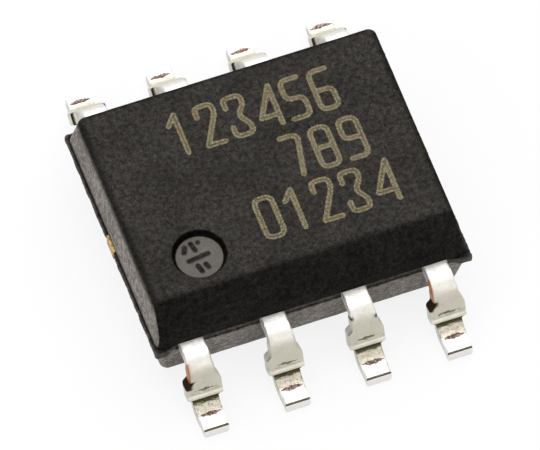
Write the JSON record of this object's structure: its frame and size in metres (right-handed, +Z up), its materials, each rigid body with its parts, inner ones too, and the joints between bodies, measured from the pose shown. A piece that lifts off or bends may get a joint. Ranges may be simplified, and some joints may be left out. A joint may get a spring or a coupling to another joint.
{
  "type": "small-outline semiconductor package",
  "caption": "Surface-mount semiconductor package: drafted moulded body with a chamfered index edge, gull-wing leads and its leadframe, die and bond wires inside.",
  "frame": {"origin": "centre of the package on the seating plane, under the feet of the leads", "axes": "+X along the lead rows from lead 1 to lead 4, +Y from the front row to the back row, +Z up through the marked top face"},
  "size_m": [0.005, 0.006, 0.0016],
  "materials": {
    "mould_compound": "fine-grained matt black epoxy mould compound with a pale laser mark",
    "tinned_lead": "satin matt tin plating on copper, with sheared edges",
    "leadframe_copper": "bare copper alloy",
    "die_attach": "silver-filled epoxy adhesive",
    "silicon": "polished silicon die",
    "gold_wire": "fine gold wire"
  },
  "bodies": {
    "root": {"body": "mould_compound", "lead_1": "tinned_lead", "lead_2": "tinned_lead", "lead_3": "tinned_lead", "lead_4": "tinned_lead", "lead_5": "tinned_lead", "lead_6": "tinned_lead", "lead_7": "tinned_lead", "lead_8": "tinned_lead", "die_paddle": "leadframe_copper", "die_attach": "die_attach", "die": "silicon", "bond_wire_1": "gold_wire", "bond_wire_2": "gold_wire", "bond_wire_3": "gold_wire", "bond_wire_4": "gold_wire", "bond_wire_5": "gold_wire", "bond_wire_6": "gold_wire", "bond_wire_7": "gold_wire", "bond_wire_8": "gold_wire"}
  },
  "joints": []
}
